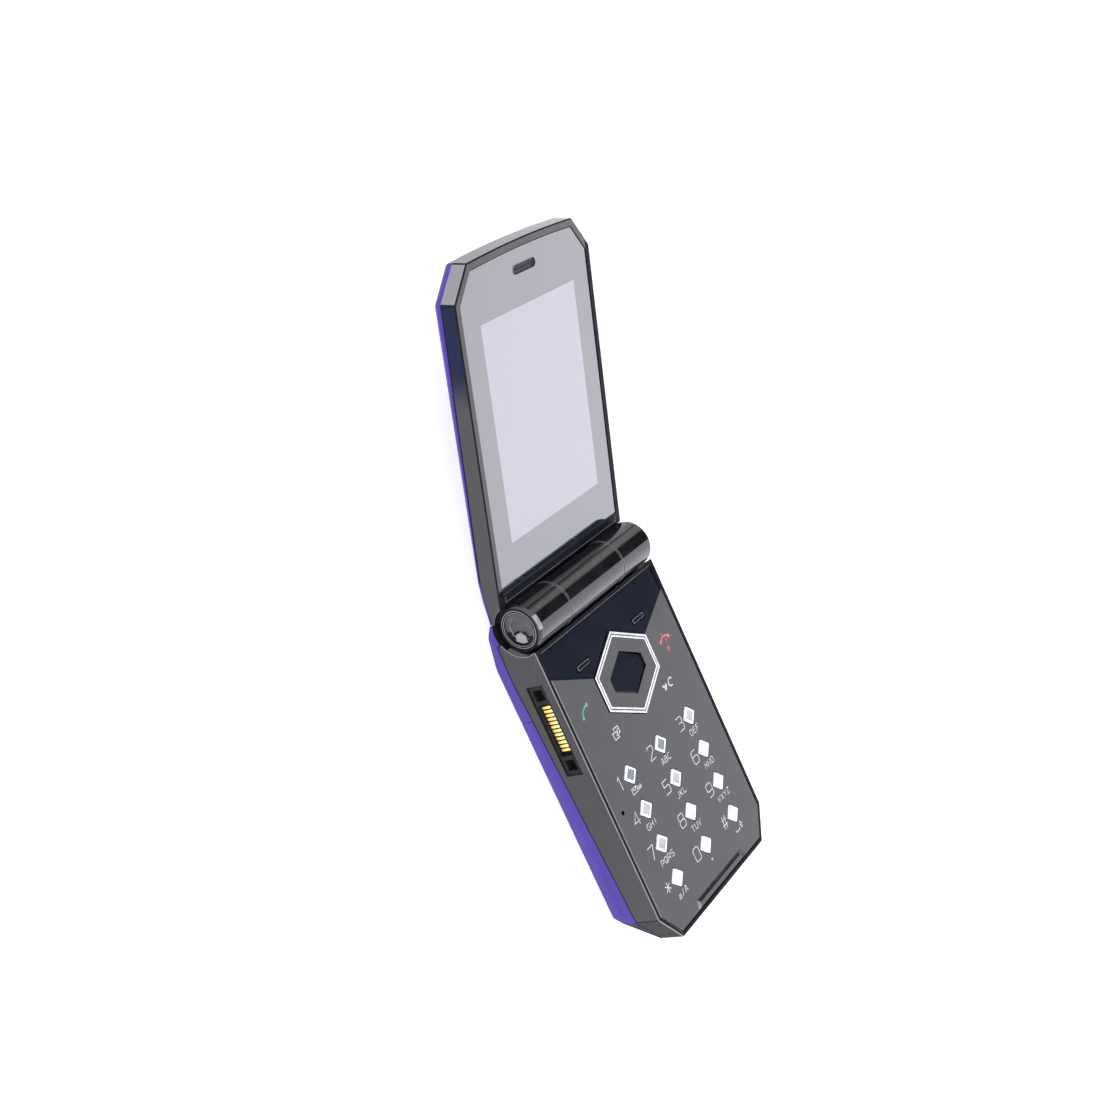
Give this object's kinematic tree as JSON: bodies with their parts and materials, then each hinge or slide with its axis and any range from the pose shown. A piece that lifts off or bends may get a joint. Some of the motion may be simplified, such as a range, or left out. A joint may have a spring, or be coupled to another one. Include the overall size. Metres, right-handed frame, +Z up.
{
  "type": "flip phone",
  "caption": "Folding mobile phone with cut corners: a screen lid on a barrel hinge over a keypad base with diamond keys, a hexagonal navigation key and a side connector.",
  "frame": {"origin": "on the flat back of the base, under the middle of the keypad plate", "axes": "+X to the user's right, +Y from the keypad towards the hinge, +Z up out of the keypad; the phone lies on its back with the lid open against its stop"},
  "size_m": [0.044, 0.1331, 0.0305],
  "materials": {
    "black_gloss": "polished black moulding",
    "key_black": "polished black key cap",
    "violet_shell": "violet coloured moulding, clear coated",
    "glass_front": "clear window with a dark printed border",
    "display": "unlit liquid crystal panel",
    "pip_white": "translucent white diamonds",
    "rubber_mat": "silicone",
    "dome_steel": "spring steel domes on film",
    "board": "solder mask",
    "can_steel": "plated sheet",
    "cell": "wrapped metal pouch",
    "gold_contact": "gold plated",
    "black_matte": "moulded, fine texture",
    "steel": "turned",
    "acetal": "natural acetal",
    "flex_film": "polyimide film",
    "lens": "camera window",
    "mesh": "fine perforated grille"
  },
  "bodies": {
    "base": {"base_frame": "black_gloss", "rear_cap": "violet_shell", "keypad_plate": "black_gloss", "key_mat": "rubber_mat", "dome_sheet": "dome_steel", "main_board": "board", "shield_cans": "can_steel", "battery": "cell", "battery_contacts": "gold_contact", "sim_holder": "can_steel", "connector_housing": "black_matte", "connector_pins": "gold_contact", "microphone": "can_steel", "loudspeaker": "black_matte", "vibration_motor": "steel", "camera_module": "black_matte", "camera_window": "lens", "antenna": "gold_contact", "base_screws": "steel", "hinge_bush": "acetal", "hinge_case": "steel", "hinge_follower": "steel", "hinge_spring": "steel", "hinge_flex": "flex_film"},
    "lid": {"lid_frame": "black_gloss", "lid_cover": "violet_shell", "lid_glass": "glass_front", "display_panel": "display", "display_bracket": "can_steel", "lid_board": "board", "earpiece_speaker": "black_matte", "earpiece_mesh": "mesh", "clock_window": "lens", "clock_display": "black_matte", "lid_screws": "steel", "hinge_cap_left": "black_gloss", "hinge_cap_right": "black_gloss", "hinge_tube": "steel", "hinge_shaft": "steel", "hinge_cam": "steel"},
    "back_cover": {"battery_cover": "violet_shell"},
    "nav_rocker": {"nav_rocker": "black_matte"},
    "nav_ring": {"nav_ring": "black_gloss"},
    "side_key": {"side_key": "black_gloss"},
    "key_1": {"key_1": "pip_white"},
    "key_2": {"key_2": "pip_white"},
    "key_3": {"key_3": "pip_white"},
    "key_4": {"key_4": "pip_white"},
    "key_5": {"key_5": "pip_white"},
    "key_6": {"key_6": "pip_white"},
    "key_7": {"key_7": "pip_white"},
    "key_8": {"key_8": "pip_white"},
    "key_9": {"key_9": "pip_white"},
    "key_star": {"key_star": "pip_white"},
    "key_0": {"key_0": "pip_white"},
    "key_hash": {"key_hash": "pip_white"},
    "select_key": {"select_key": "key_black"},
    "soft_key_left": {"soft_key_left": "pip_white"},
    "soft_key_right": {"soft_key_right": "pip_white"}
  },
  "joints": [
    {"name": "lid_hinge", "type": "hinge", "parent": "base", "child": "lid", "pos_m": [0, 0.03629, 0.00938], "axis": [1, 0, 0], "range_deg": [0, 159.5]},
    {"name": "cover_slide", "type": "slide", "parent": "base", "child": "back_cover", "axis": [0, -1, 0], "range_m": [0, 0.004]},
    {"name": "nav_up_down", "type": "hinge", "parent": "base", "child": "nav_rocker", "pos_m": [0, 0.01664, 0.00935], "axis": [1, 0, 0], "range_deg": [-0.9, 0.9], "stiffness_Nm_per_rad": 0.5},
    {"name": "nav_left_right", "type": "hinge", "parent": "nav_rocker", "child": "nav_ring", "pos_m": [0, 0.01664, 0.00935], "axis": [0, 1, 0], "range_deg": [-0.9, 0.9], "stiffness_Nm_per_rad": 0.5},
    {"name": "side_key_press", "type": "slide", "parent": "base", "child": "side_key", "axis": [-1, 0, 0], "range_m": [0, 0.00025], "stiffness_N_per_m": 4000},
    {"name": "key_1_press", "type": "slide", "parent": "base", "child": "key_1", "axis": [0, 0, -1], "range_m": [0, 0.00025], "stiffness_N_per_m": 4000},
    {"name": "key_2_press", "type": "slide", "parent": "base", "child": "key_2", "axis": [0, 0, -1], "range_m": [0, 0.00025], "stiffness_N_per_m": 4000},
    {"name": "key_3_press", "type": "slide", "parent": "base", "child": "key_3", "axis": [0, 0, -1], "range_m": [0, 0.00025], "stiffness_N_per_m": 4000},
    {"name": "key_4_press", "type": "slide", "parent": "base", "child": "key_4", "axis": [0, 0, -1], "range_m": [0, 0.00025], "stiffness_N_per_m": 4000},
    {"name": "key_5_press", "type": "slide", "parent": "base", "child": "key_5", "axis": [0, 0, -1], "range_m": [0, 0.00025], "stiffness_N_per_m": 4000},
    {"name": "key_6_press", "type": "slide", "parent": "base", "child": "key_6", "axis": [0, 0, -1], "range_m": [0, 0.00025], "stiffness_N_per_m": 4000},
    {"name": "key_7_press", "type": "slide", "parent": "base", "child": "key_7", "axis": [0, 0, -1], "range_m": [0, 0.00025], "stiffness_N_per_m": 4000},
    {"name": "key_8_press", "type": "slide", "parent": "base", "child": "key_8", "axis": [0, 0, -1], "range_m": [0, 0.00025], "stiffness_N_per_m": 4000},
    {"name": "key_9_press", "type": "slide", "parent": "base", "child": "key_9", "axis": [0, 0, -1], "range_m": [0, 0.00025], "stiffness_N_per_m": 4000},
    {"name": "key_star_press", "type": "slide", "parent": "base", "child": "key_star", "axis": [0, 0, -1], "range_m": [0, 0.00025], "stiffness_N_per_m": 4000},
    {"name": "key_0_press", "type": "slide", "parent": "base", "child": "key_0", "axis": [0, 0, -1], "range_m": [0, 0.00025], "stiffness_N_per_m": 4000},
    {"name": "key_hash_press", "type": "slide", "parent": "base", "child": "key_hash", "axis": [0, 0, -1], "range_m": [0, 0.00025], "stiffness_N_per_m": 4000},
    {"name": "select_key_press", "type": "slide", "parent": "base", "child": "select_key", "axis": [0, 0, -1], "range_m": [0, 0.00025], "stiffness_N_per_m": 4000},
    {"name": "soft_key_left_press", "type": "slide", "parent": "base", "child": "soft_key_left", "axis": [0, 0, -1], "range_m": [0, 0.00025], "stiffness_N_per_m": 4000},
    {"name": "soft_key_right_press", "type": "slide", "parent": "base", "child": "soft_key_right", "axis": [0, 0, -1], "range_m": [0, 0.00025], "stiffness_N_per_m": 4000}
  ]
}
